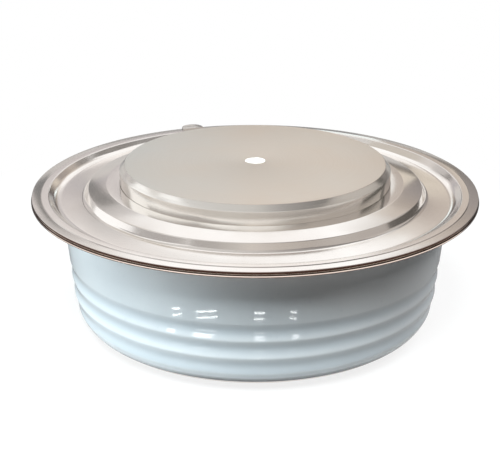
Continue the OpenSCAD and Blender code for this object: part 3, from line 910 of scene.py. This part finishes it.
class THYRISTOR_OT_poles(bpy.types.Operator):
    """Turn the upper and the lower copper pole"""
    bl_idname = "thyristor.poles"
    bl_label = "Copper poles"

    def execute(self, context):
        self.upper_pole()
        self.lower_pole()
        return {"FINISHED"}

    def upper_pole(self):
        pole, rim = settings().pole, settings().rim
        face = top("cathode_pole")
        bottom = low("cathode_pole")
        inner = reach("cathode_disc")
        shoulder = reach("cathode_pole")
        shoulder_top = top("cathode_flange") - rim.sheet
        shoulder_low = shoulder_top - pole.shoulder_h
        slot_half = top("gate_sleeve") - LEAD_Z + SLOT_CLEARANCE
        ceiling = LEAD_Z + slot_half
        hole_r, hole_d = self.hole()
        mouth_d = (pole.mouth_radius - hole_r) * math.tan(pole.mouth_slope)
        corners = [
            (0, ceiling, 0),
            (pole.pocket_radius, ceiling, 0),
            (pole.pocket_radius, bottom, 0),
            (inner - pole.inner_chamfer, bottom, 0),
            (inner, bottom + pole.inner_chamfer, 0),
            (inner, shoulder_low, 0),
            (shoulder, shoulder_low, 0),
            (shoulder, shoulder_top, 0),
            (pole.radius, shoulder_top, 0),
            (pole.radius, face - pole.chamfer, pole.edge_break),
            (pole.radius - pole.chamfer, face, pole.edge_break),
            (pole.mouth_radius, face, pole.edge_break),
            (hole_r, face - mouth_d, 0),
            (hole_r, face - hole_d, 0),
            (0, face - hole_d - hole_r * math.tan(pole.drill_slope), 0),
        ]
        slot = self.slot_cutter(shoulder, slot_half, bottom, ceiling)
        piece = turned("upper_pole", corners, False, finish("plated_pole"), [slot])
        stand_for(piece, "cathode_pole")

    def hole(self):
        """Radius and depth of a centring hole."""
        wall = mount("anode_centring_hole")["dims"]
        return wall["r_mm"] * MM, wall["length_mm"] * MM

    def slot_cutter(self, far, half, bottom, ceiling):
        """Block that leaves the gate lead's slot."""
        mesh = bpy.data.meshes.new("slot")
        work = bmesh.new()
        bmesh.ops.create_cube(work, size=1)
        size = Vector((far + SLOT_OVER, 2 * half, ceiling - bottom + SLOT_OVER))
        middle = Vector(((far + SLOT_OVER) / 2, 0, (ceiling + bottom - SLOT_OVER) / 2))
        bmesh.ops.transform(work, matrix=Matrix.Diagonal((*size, 1)), verts=work.verts)
        bmesh.ops.translate(work, vec=middle, verts=work.verts)
        bmesh.ops.rotate(work, matrix=Matrix.Rotation(LEAD_ANGLE, 3, "Z"), verts=work.verts)
        work.to_mesh(mesh)
        work.free()
        return in_scene("slot", mesh)

    def lower_pole(self):
        pole = settings().pole
        face, shelf, upper = low("anode_pole"), low("ceramic_insulator"), top("anode_pole")
        shoulder = reach("anode_pole")
        hole_r, hole_d = self.hole()
        corners = [
            (0, face + hole_d + hole_r * math.tan(pole.drill_slope), 0),
            (hole_r, face + hole_d, 0),
            (hole_r, face, pole.edge_break),
            (pole.radius - pole.chamfer, face, pole.edge_break),
            (pole.radius, face + pole.chamfer, pole.edge_break),
            (pole.radius, shelf, 0),
            (shoulder, shelf, 0),
            (shoulder, upper, 0),
            (0, upper, 0),
        ]
        piece = turned("lower_pole", corners, False, finish("plated_pole"))
        stand_for(piece, "anode_pole")


class THYRISTOR_OT_rim(bpy.types.Operator):
    """Bend the stamped lid, the weld ring below it and the lower flange"""
    bl_idname = "thyristor.rim"
    bl_label = "Sheet metal rim"

    def execute(self, context):
        rim = settings().rim
        sheets = (
            ("stamped_lid", "cathode_flange", lid_path(), rim.sheet),
            ("lower_rim_sheet", "weld_ring", ring_path(), rim.sheet),
            ("lower_flange", "anode_flange", lower_path(), rim.lower_sheet),
        )
        for name, node, (path, bends), thickness in sheets:
            corners = sheet_profile(path, bends, thickness, rim.sheared_edge)
            piece = turned(name, corners, True, finish("bright_sheet"))
            stand_for(piece, node)
        return {"FINISHED"}


class THYRISTOR_OT_ceramic(bpy.types.Operator):
    """Press the ribbed ceramic ring"""
    bl_idname = "thyristor.ceramic"
    bl_label = "Ceramic ring"

    def execute(self, context):
        shape = settings().ceramic
        bottom, upper = low("ceramic_insulator"), top("ceramic_insulator")
        outer = reach("ceramic_insulator")
        bore = outer - shape.wall
        first = shape.groove_start - shape.rib_pitch / 2
        steps = shape.grooves * shape.wall_steps
        quarter = [math.pi / 2 * i / shape.foot_steps for i in range(shape.foot_steps)]
        foot = [h for h in (shape.foot_h * (1 - math.cos(a)) for a in quarter) if h < first]
        ribs = [first + shape.rib_pitch * i / shape.wall_steps for i in range(steps + 1)]

        def wall_r(h):
            drawn_in = shape.foot_in * (1 - math.sqrt(1 - max(0, 1 - h / shape.foot_h) ** 2))
            return outer - (upper - bottom - h) * math.tan(shape.draft) - drawn_in

        corners = [(bore, bottom, 0)]
        corners += [(wall_r(h), bottom + h, 0) for h in foot + ribs]
        corners += [(outer, upper, shape.head_radius), (bore, upper, 0)]
        ribbed = range(1 + len(foot), 1 + len(foot) + len(ribs))
        piece = profile_object("ribbed_ring", corners, True, ribbed)
        add_tree(piece, "Ribbed Ring", {
            "Segments": settings().segments, "Bend Steps": settings().bend_steps, "Closed": True,
            "Material": finish("white_glaze"), "Grooves": shape.grooves, "Rib Pitch": shape.rib_pitch,
            "Groove Depth": shape.groove_depth, "First Groove": bottom + shape.groove_start,
        })
        cutter = self.lead_cutter(outer)
        cut_away(piece, cutter)
        settle(piece, [cutter])
        stand_for(piece, "ceramic_insulator")
        return {"FINISHED"}

    def lead_cutter(self, outer):
        """Rod that leaves the gate tube's hole."""
        tube = mount("gate_tube_end")["dims"]["r_mm"] * MM + settings().rim.braze_gap
        far = outer + HOLE_OVER
        corners = [(0, 0, 0), (tube, 0, 0), (tube, far, 0), (0, far, 0)]
        cutter = turned("lead_hole", corners, False, finish("white_glaze"))
        cutter.data.transform(to_lead())
        return cutter


class THYRISTOR_OT_leads(bpy.types.Operator):
    """Make the gate tube, the cathode tab and the gate spring"""
    bl_idname = "thyristor.leads"
    bl_label = "Gate and cathode connections"

    def execute(self, context):
        self.gate_tube()
        self.cathode_tab()
        self.gate_spring()
        return {"FINISHED"}

    def gate_tube(self):
        lead = settings().lead
        tube = mount("gate_tube_end")["dims"]["r_mm"] * MM
        bore = tube - lead.tube_wall
        points = frame["nodes"]["gate_tube"].data.vertices
        along = [v.co.xy.dot(LEAD_AXIS.xy) for v in points]
        start, end = min(along), max(along)
        bead = min(a for a, v in zip(along, points) if abs(v.co.z - LEAD_Z) > tube + BEAD_MARGIN)
        edge, bead_edge = lead.tube_edge, lead.bead_t * BEAD_ROUND
        corners = [
            (bore, start, edge),
            (tube, start, edge),
            (tube, bead, 0),
            (lead.bead_radius, bead, bead_edge),
            (lead.bead_radius, bead + lead.bead_t, bead_edge),
            (tube, bead + lead.bead_t, edge),
            (tube, end, edge),
            (bore, end, edge),
        ]
        piece = turned("lead_tube", corners, True, finish("bright_sheet"))
        piece.data.transform(to_lead())
        stand_for(piece, "gate_tube")

    def cathode_tab(self):
        lead = settings().lead
        across = Vector((-LEAD_AXIS.y, LEAD_AXIS.x))
        corners = frame["nodes"]["cathode_tab"].data.vertices
        half = max(v.co.xy.dot(across) for v in corners)
        root = min(v.co.xy.dot(LEAD_AXIS.xy) for v in corners)
        tip = max(v.co.xy.dot(LEAD_AXIS.xy) for v in corners)
        under, upper = low("cathode_tab"), top("cathode_tab")
        curve = bpy.data.curves.new("tab_ear", "CURVE")
        curve.dimensions = "2D"
        curve.fill_mode = "BOTH"
        curve.bevel_depth = lead.tab_edge
        curve.bevel_resolution = TAB_EDGE_STEPS
        curve.offset = -lead.tab_edge
        curve.extrude = (upper - under) / 2 - lead.tab_edge
        centre = tip - half
        sweep = math.acos((root - centre) / half)
        outline = [sweep * (2 * i / TAB_STEPS - 1) for i in range(TAB_STEPS + 1)]
        spline = curve.splines.new("POLY")
        spline.points.add(TAB_STEPS)
        spline.use_cyclic_u = True
        for point, a in zip(spline.points, outline):
            point.co = (centre + half * math.cos(a), half * math.sin(a), 0, 1)
        drawn = in_scene("tab_drawing", curve)
        mesh = evaluated_mesh(drawn)
        bpy.data.objects.remove(drawn)
        mesh.transform(Matrix.Translation((0, 0, (under + upper) / 2)) @ Matrix.Rotation(LEAD_ANGLE, 4, "Z"))
        mesh.materials.clear()
        mesh.materials.append(finish("bright_sheet"))
        piece = in_scene("tab_ear", mesh)
        settle(piece)
        stand_for(piece, "cathode_tab")

    def gate_spring(self):
        lead = settings().lead
        wire = lead.spring_wire / 2
        bottom, upper = low("gate_spring"), top("gate_spring")
        piece = profile_object("contact_spring", [(0, bottom, 0), (0, upper, 0)], False)
        add_tree(piece, "Coil Spring", {
            "Turns": float(lead.spring_turns), "Radius": reach("gate_spring") - wire,
            "Rise": upper - bottom - 2 * wire, "Wire Radius": wire, "Bottom": bottom + wire,
            "Material": finish("gate_metal"),
        })
        settle(piece)
        stand_for(piece, "gate_spring")


class THYRISTOR_OT_inner(bpy.types.Operator):
    """Give every node of the CAD its finish; the outer ones are replaced later"""
    bl_idname = "thyristor.inner"
    bl_label = "Inner pieces"

    def execute(self, context):
        for part in frame["record"]["subparts"]:
            dress(part["node"], part["material_slot"])
        return {"FINISHED"}


# Stage

FLOOR_DROP = 0.02 * MM
SENSOR_WIDTH = 36
LAMP_AIM = Vector((0, 0, 0.02))
# Name, setting of its power, tint, place and side of each lamp
LAMPS = (
    ("window", "key_power", (0.88, 0.97, 1), (-0.55, -0.05, 0.14), 0.4),
    ("back", "back_power", (0.96, 0.98, 1), (0.45, 0.42, 0.32), 0.4),
    ("fill", "fill_power", (1, 0.93, 0.88), (0.32, -0.3, 0.5), 0.2),
    ("overhead", "top_power", (0.9, 0.98, 1), (-0.08, -0.36, 0.58), 0.3),
)
# Dashes on the glaze: place across the wall, direction in degrees that it mirrors, width
DASHES = (
    (-16.7 * MM, -50, 2 * MM),
    (-10.2 * MM, -30, 4.6 * MM),
    (1 * MM, 3, 2.2 * MM),
    (8.3 * MM, 24, 1.4 * MM),
)
# Rows of cards that give the dashes: name, gap from the ceramic, depth, width against the dash, setting of
# the strength
GLINT_ROWS = (
    ("wall", 23 * MM, 1 * MM, 2.2, "glint"),
    ("low", 19.6 * MM, 0.9 * MM, 2, "glint"),
    ("rib", 71 * MM, 26 * MM, 4, "pane"),
)
GLINT_Z = 0.5 * MM
WHITE_TONES = ((0, 100, 100, 100), (1, 100, 100, 100))
# Boards round the front that the rim's lower edge mirrors: turns in degrees, height of the foot, height
EDGE_STEP = 30
EDGE_TURNS = range(-75, 90, EDGE_STEP)
EDGE_Z, EDGE_H = 10 * MM, 20 * MM
EDGE_TONES = ((0, 95, 82, 74), (1, 100, 90, 84))
# Planes that several boards share
BACK_Y, GAP_Y, SKY_Y, FRONT_Y, RIGHT_X = 0.6, 0.59, 0.62, -0.6, 0.55


def standing(x, y, z, wide, high):
    """Corner and sides of a board across the view, with tones that run up."""
    return (x, y, z), (wide, 0, 0), (0, 0, high)


def banded(x, y, z, wide, high):
    """Corner and sides of a board across the view, with tones that run across."""
    return (x, y, z), (0, 0, high), (wide, 0, 0)


def beside(x, y, z, deep, high):
    """Corner and sides of a board beside the capsule, with tones that run up."""
    return (x, y, z), (0, deep, 0), (0, 0, high)


def above(x, y, z, wide, deep):
    """Corner and sides of a board over the capsule, with tones that run across."""
    return (x, y, z), (0, deep, 0), (wide, 0, 0)


# Lower tones that two of the back boards share
BACK_LOW_TONES = ((0, 60, 58, 56), (0.28, 60, 58, 56), (0.36, 14, 12, 11), (0.45, 16, 14, 12))
# Boards that only gloss sees: name, corner and sides, strength, and tones along the second side, each with
# its share of the way and its percent of red, green and blue
BOARDS = (
    ("back_board", standing(-0.04, BACK_Y, 0, 0.135, 0.28), 1, (
        (0, 50, 50, 50), (0.26, 50, 50, 50), (0.34, 12, 10, 10), (0.48, 14, 12, 11), (0.63, 35, 31, 28),
        (0.78, 40, 35, 31), (0.87, 90, 86, 82),
    )),
    ("back_right_board", standing(0.095, BACK_Y, 0, 0.055, 0.28), 1, (
        *BACK_LOW_TONES, (0.6, 44, 39, 35), (1, 55, 48, 43),
    )),
    ("back_warm_board", standing(0.15, BACK_Y, 0, 0.055, 0.28), 1, (
        *BACK_LOW_TONES, (0.53, 74, 67, 58), (0.8, 74, 67, 58), (0.86, 55, 48, 43), (1, 55, 48, 43),
    )),
    ("back_far_board", standing(0.205, BACK_Y, 0, 0.6, 0.28), 1, (
        (0, 50, 48, 46), (0.28, 50, 48, 46), (0.36, 14, 12, 11), (0.6, 24, 22, 21), (1, 30, 27, 26),
    )),
    ("back_left_board", standing(-0.8, BACK_Y, 0, 0.76, 0.28), 1, (
        (0, 60, 58, 57), (0.43, 62, 60, 58), (0.55, 68, 65, 63), (0.62, 62, 58, 56), (0.66, 45, 44, 46),
        (0.71, 44, 42, 44), (0.76, 58, 54, 54), (0.85, 56, 52, 52), (0.94, 80, 76, 74),
    )),
    ("left_gap", standing(-0.256, GAP_Y, 0.15, 0.046, 0.21), 1, (
        (0, 20, 20, 20), (1, 24, 23, 22),
    )),
    ("right_gap", standing(0.21, GAP_Y, 0.1, 0.21, 0.27), 1, (
        (0, 24, 22, 21), (0.5, 33, 30, 29), (1, 46, 40, 35),
    )),
    ("sky_low_board", banded(-0.8, SKY_Y, 0.28, 1.6, 0.055), 1.2, (
        (0, 50, 47, 45), (0.375, 55, 52, 51), (0.397, 82, 79, 77), (0.437, 100, 100, 100),
        (0.462, 100, 100, 100), (0.5, 94, 92, 91), (0.537, 96, 93, 92), (0.562, 72, 70, 69),
        (0.602, 57, 50, 45), (0.625, 43, 38, 35), (1, 30, 28, 27),
    )),
    ("sky_mid_board", banded(-0.8, SKY_Y, 0.335, 1.6, 0.135), 1.1, (
        (0, 45, 43, 42), (0.375, 55, 53, 52), (0.416, 78, 76, 75), (0.456, 84, 83, 82), (0.5, 92, 92, 91),
        (0.531, 100, 100, 100), (0.584, 100, 100, 100), (0.606, 87, 86, 84), (0.619, 68, 64, 59),
        (0.656, 55, 49, 44), (1, 30, 28, 27),
    )),
    ("sky_high_board", banded(-0.8, SKY_Y, 0.47, 1.6, 0.17), 1.1, (
        (0, 55, 52, 50), (0.3, 70, 67, 65), (0.4, 100, 100, 100), (0.6, 100, 100, 100), (0.68, 60, 57, 54),
        (0.75, 25, 24, 23), (1, 20, 19, 18),
    )),
    ("window_gap", standing(0.04, GAP_Y, 0.145, 0.055, 0.075), 1.15, (
        (0, 92, 100, 100), (1, 92, 100, 100),
    )),
    ("right_front_board", beside(RIGHT_X, 0.05, 0, -0.65, 1), 1, (
        (0, 40, 37, 35), (0.4, 52, 48, 45), (1, 50, 47, 44),
    )),
    ("right_board", beside(RIGHT_X, 0.62, 0, -0.57, 1), 1, (
        (0, 10, 9, 8), (0.7, 22, 21, 20), (1, 30, 29, 28),
    )),
    ("right_mid_board", beside(0.54, 0.45, 0.22, -0.4, 0.5), 1, (
        (0, 42, 39, 36), (0.3, 54, 50, 47), (1, 58, 54, 51),
    )),
    ("high_left_board", above(-0.9, 0.2, 0.69, 0.65, 0.6), 1, (
        (0, 80, 78, 76), (0.3, 75, 72, 69), (0.5, 62, 58, 53), (1, 60, 56, 51),
    )),
    ("left_board", beside(-0.6, 0.1, 0.26, -0.7, 0.3), 1, (
        (0, 45, 43, 42), (1, 50, 48, 47),
    )),
    ("top_board", above(0.55, -0.6, 0.7, -1.1, 0.8), 1, (
        (0, 20, 19, 18), (0.32, 40, 38, 37), (0.5, 64, 62, 60), (1, 72, 71, 70),
    )),
    ("front_low_board", banded(0.55, FRONT_Y, 0.02, -0.7, 0.27), 1, (
        (0, 30, 28, 27), (0.3, 50, 48, 46), (0.6, 100, 100, 100), (1, 100, 100, 100),
    )),
    ("front_mid_board", banded(0.55, FRONT_Y, 0.29, -1.15, 0.1), 1, (
        (0, 50, 47, 44), (0.34, 55, 52, 49), (0.46, 80, 74, 69), (0.52, 80, 74, 69), (0.62, 45, 43, 41),
        (1, 45, 43, 42),
    )),
    ("front_high_board", banded(0.55, FRONT_Y, 0.39, -1.15, 0.31), 1, (
        (0, 50, 46, 43), (0.3, 58, 54, 50), (0.42, 64, 60, 57), (0.5, 70, 66, 62), (0.58, 60, 57, 54),
        (0.75, 48, 46, 44), (1, 45, 43, 42),
    )),
)


class THYRISTOR_OT_stage(bpy.types.Operator):
    """Set the floor, the light and the camera"""
    bl_idname = "thyristor.stage"
    bl_label = "Stage"

    def execute(self, context):
        context.scene.view_settings.view_transform = "Standard"
        self.floor()
        self.world()
        self.lamps()
        self.cards()
        self.camera()
        return {"FINISHED"}

    def seen(self, nodes):
        """1 for rays that show the background: camera, glossy and transmission rays."""
        path = nodes.add("ShaderNodeLightPath").outputs
        glossy = nodes.math("MAXIMUM", path["Is Glossy Ray"], path["Is Transmission Ray"])
        return nodes.math("MAXIMUM", path["Is Camera Ray"], glossy)

    def plate(self, name, finish_name, corners):
        """Flat piece of the stage, the builder of its empty material and a place on it."""
        material = bpy.data.materials.new(finish_name)
        material.use_nodes = True
        material.node_tree.nodes.clear()
        mesh = bpy.data.meshes.new(name)
        mesh.from_pydata(corners, [], [(0, 1, 2, 3)])
        mesh.materials.append(material)
        nodes = Nodes(material.node_tree)
        return in_scene(name, mesh), nodes, nodes.out("ShaderNodeTexCoord", output="Object")

    def floor(self):
        stage = settings().stage
        half = stage.floor_size / 2
        level = CAD_BOX[0].z - FLOOR_DROP
        corners = [(-half, -half, level), (half, -half, level), (half, half, level), (-half, half, level)]
        floor, nodes, place = self.plate("floor", "pale_floor", corners)
        seen = self.seen(nodes)
        away = nodes.out("ShaderNodeVectorMath", {0: place}, "Value", operation="LENGTH")
        bounce = spread(nodes, away, stage.bounce_from, stage.bounce_to, stage.bounce_near, stage.bounce_far)
        paper = nodes.out("ShaderNodeBsdfDiffuse", {"Color": nodes.math("MAXIMUM", seen, bounce)})
        glow = nodes.out("ShaderNodeEmission", {"Color": (1, 1, 1, 1), "Strength": 1})
        white = spread(nodes, away, stage.shade_from, stage.shade_to, stage.floor_lift, 1)
        lit = nodes.out("ShaderNodeMixShader", {0: nodes.math("MULTIPLY", seen, white), 1: paper, 2: glow})
        depth = nodes.out("ShaderNodeSeparateXYZ", {"Vector": place}, "Y")
        table = spread(nodes, depth, stage.table_from, stage.table_to, stage.table_front, stage.table_back)
        path = nodes.add("ShaderNodeLightPath").outputs
        thrown = spread(nodes, path["Diffuse Depth"], 0, 1, 1, stage.spill)
        dim = nodes.out("ShaderNodeEmission", {"Strength": nodes.math("MULTIPLY", table, thrown)})
        lit = nodes.out("ShaderNodeMixShader", {0: path["Is Glossy Ray"], 1: lit, 2: dim})
        clear = nodes.out("ShaderNodeBsdfTransparent")
        under = nodes.out("ShaderNodeNewGeometry", output="Backfacing")
        both = nodes.out("ShaderNodeMixShader", {0: under, 1: lit, 2: clear})
        nodes.add("ShaderNodeOutputMaterial", {"Surface": both})

    def world(self):
        stage = settings().stage
        world = bpy.data.worlds.new("studio")
        world.use_nodes = True
        nodes = Nodes(world.node_tree)
        sky = world.node_tree.nodes["Background"]
        sky.inputs["Color"].default_value = (1, 1, 1, 1)
        plain = spread(nodes, self.seen(nodes), 0, 1, stage.ambient, 1)
        glossy = nodes.out("ShaderNodeLightPath", output="Is Glossy Ray")
        lift = nodes.math("MULTIPLY", glossy, stage.gloss_lift)
        nodes.put(sky.inputs["Strength"], nodes.math("ADD", plain, lift))
        bpy.context.scene.world = world

    def lamps(self):
        """Soft square lamps that look at the capsule and that no gloss shows."""
        for name, power, tint, at, side in LAMPS:
            light = bpy.data.lights.new(name, "AREA")
            light.energy = getattr(settings().stage, power)
            light.color = tint
            light.size = side
            lamp = in_scene(name, light)
            lamp.location = at
            lamp.rotation_euler = (LAMP_AIM - Vector(at)).to_track_quat("-Z", "Y").to_euler()
            lamp.visible_camera = False
            lamp.visible_glossy = False

    def card(self, name, corner, across, up, tones, strength):
        """Board that only the gloss of the pieces sees, with tones along its second side."""
        corner, across, up = Vector(corner), Vector(across), Vector(up)
        corners = [corner, corner + across, corner + across + up, corner + up]
        board, nodes, place = self.plate(name, name, corners)
        from_corner = nodes.out("ShaderNodeVectorMath", {0: place, 1: corner}, operation="SUBTRACT")
        way = nodes.out("ShaderNodeVectorMath", {
            0: from_corner, 1: up / up.length_squared,
        }, "Value", operation="DOT_PRODUCT")
        ramp = nodes.add("ShaderNodeValToRGB", {"Fac": way})
        marks = ramp.color_ramp.elements
        while len(marks) < len(tones):
            marks.new(0.5)
        for mark, (at, *tint) in zip(marks, tones):
            mark.position = at
            mark.color = (*(part / 100 for part in tint), 1)
        glow = nodes.out("ShaderNodeEmission", {"Color": ramp.outputs["Color"], "Strength": strength})
        nodes.add("ShaderNodeOutputMaterial", {"Surface": glow})
        board.visible_camera = False
        board.visible_diffuse = False
        board.visible_shadow = False

    def cards(self):
        stage = settings().stage
        for name, sides, strength, tones in BOARDS:
            self.card(name, *sides, tones, strength)
        half = stage.edge_board * math.tan(math.radians(EDGE_STEP / 2))
        for turn in EDGE_TURNS:
            aside = Matrix.Rotation(math.radians(turn), 3, "Z")
            corner = aside @ Vector((-half, -stage.edge_board, EDGE_Z))
            across = aside @ Vector((2 * half, 0, 0))
            self.card(f"edge_board_{turn}", corner, across, (0, 0, EDGE_H), EDGE_TONES, stage.edge_glow)
        for name, gap, deep, widen, strength in GLINT_ROWS:
            self.glints(name, gap, deep, widen, getattr(stage, strength))

    def glints(self, name, gap, deep, widen, strength):
        """Small bright cards on the floor, at a gap from the ceramic, that its glaze mirrors as dashes."""
        outer = reach("ceramic_insulator")
        for i, (x, turn, dash) in enumerate(DASHES):
            aside = Matrix.Rotation(math.radians(turn), 3, "Z")
            wall = Vector((x, -math.sqrt(outer ** 2 - x ** 2), GLINT_Z))
            wide = dash * widen
            corner = wall + aside @ Vector((-wide / 2, -gap - deep / 2, 0))
            across, up = aside @ Vector((wide, 0, 0)), aside @ Vector((0, deep, 0))
            self.card(f"{name}_glint_{i}", corner, across, up, WHITE_TONES, strength)

    def camera(self):
        stage = settings().stage
        view = bpy.data.cameras.new("camera")
        view.lens = stage.lens
        view.sensor_width = SENSOR_WIDTH
        camera = in_scene("camera", view)
        back = Vector((0, -math.cos(stage.elevation), math.sin(stage.elevation)))
        aim = Matrix.Rotation(stage.yaw, 4, "Z") @ Matrix.Rotation(math.pi / 2 - stage.pitch, 4, "X")
        aim = aim @ Matrix.Rotation(stage.roll, 4, "Z")
        camera.matrix_world = Matrix.Translation(Vector((0, 0, lip_height())) + stage.distance * back) @ aim
        bpy.context.scene.camera = camera


class VIEW3D_PT_thyristor(bpy.types.Panel):
    """Steps that make the thyristor"""
    bl_label = "Disc Thyristor"
    bl_idname = "VIEW3D_PT_thyristor"
    bl_space_type = "VIEW_3D"
    bl_region_type = "UI"
    bl_category = "Thyristor"

    def draw(self, context):
        for step in STEPS:
            self.layout.operator(step.bl_idname)
        for group in ("pole", "rim", "ceramic", "lead", "finish", "stage"):
            box = self.layout.box()
            box.label(text=group.title())
            values = getattr(context.scene.thyristor, group)
            for name in values.__annotations__:
                box.prop(values, name)


STEPS = (
    THYRISTOR_OT_inner,
    THYRISTOR_OT_poles,
    THYRISTOR_OT_rim,
    THYRISTOR_OT_ceramic,
    THYRISTOR_OT_leads,
    THYRISTOR_OT_stage,
)
GROUPS = (
    PoleSettings, RimSettings, CeramicSettings, LeadSettings, FinishSettings, StageSettings,
    ThyristorSettings,
)
CLASSES = (*GROUPS, *STEPS, VIEW3D_PT_thyristor)


def register():
    for each in CLASSES:
        bpy.utils.register_class(each)
    bpy.types.Scene.thyristor = PointerProperty(type=ThyristorSettings)


def unregister():
    del bpy.types.Scene.thyristor
    for each in reversed(CLASSES):
        bpy.utils.unregister_class(each)


def main():
    """Registers the add-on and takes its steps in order."""
    register()
    bpy.ops.thyristor.inner()
    bpy.ops.thyristor.poles()
    bpy.ops.thyristor.rim()
    bpy.ops.thyristor.ceramic()
    bpy.ops.thyristor.leads()
    bpy.ops.thyristor.stage()


if __name__ == "__main__":
    main()
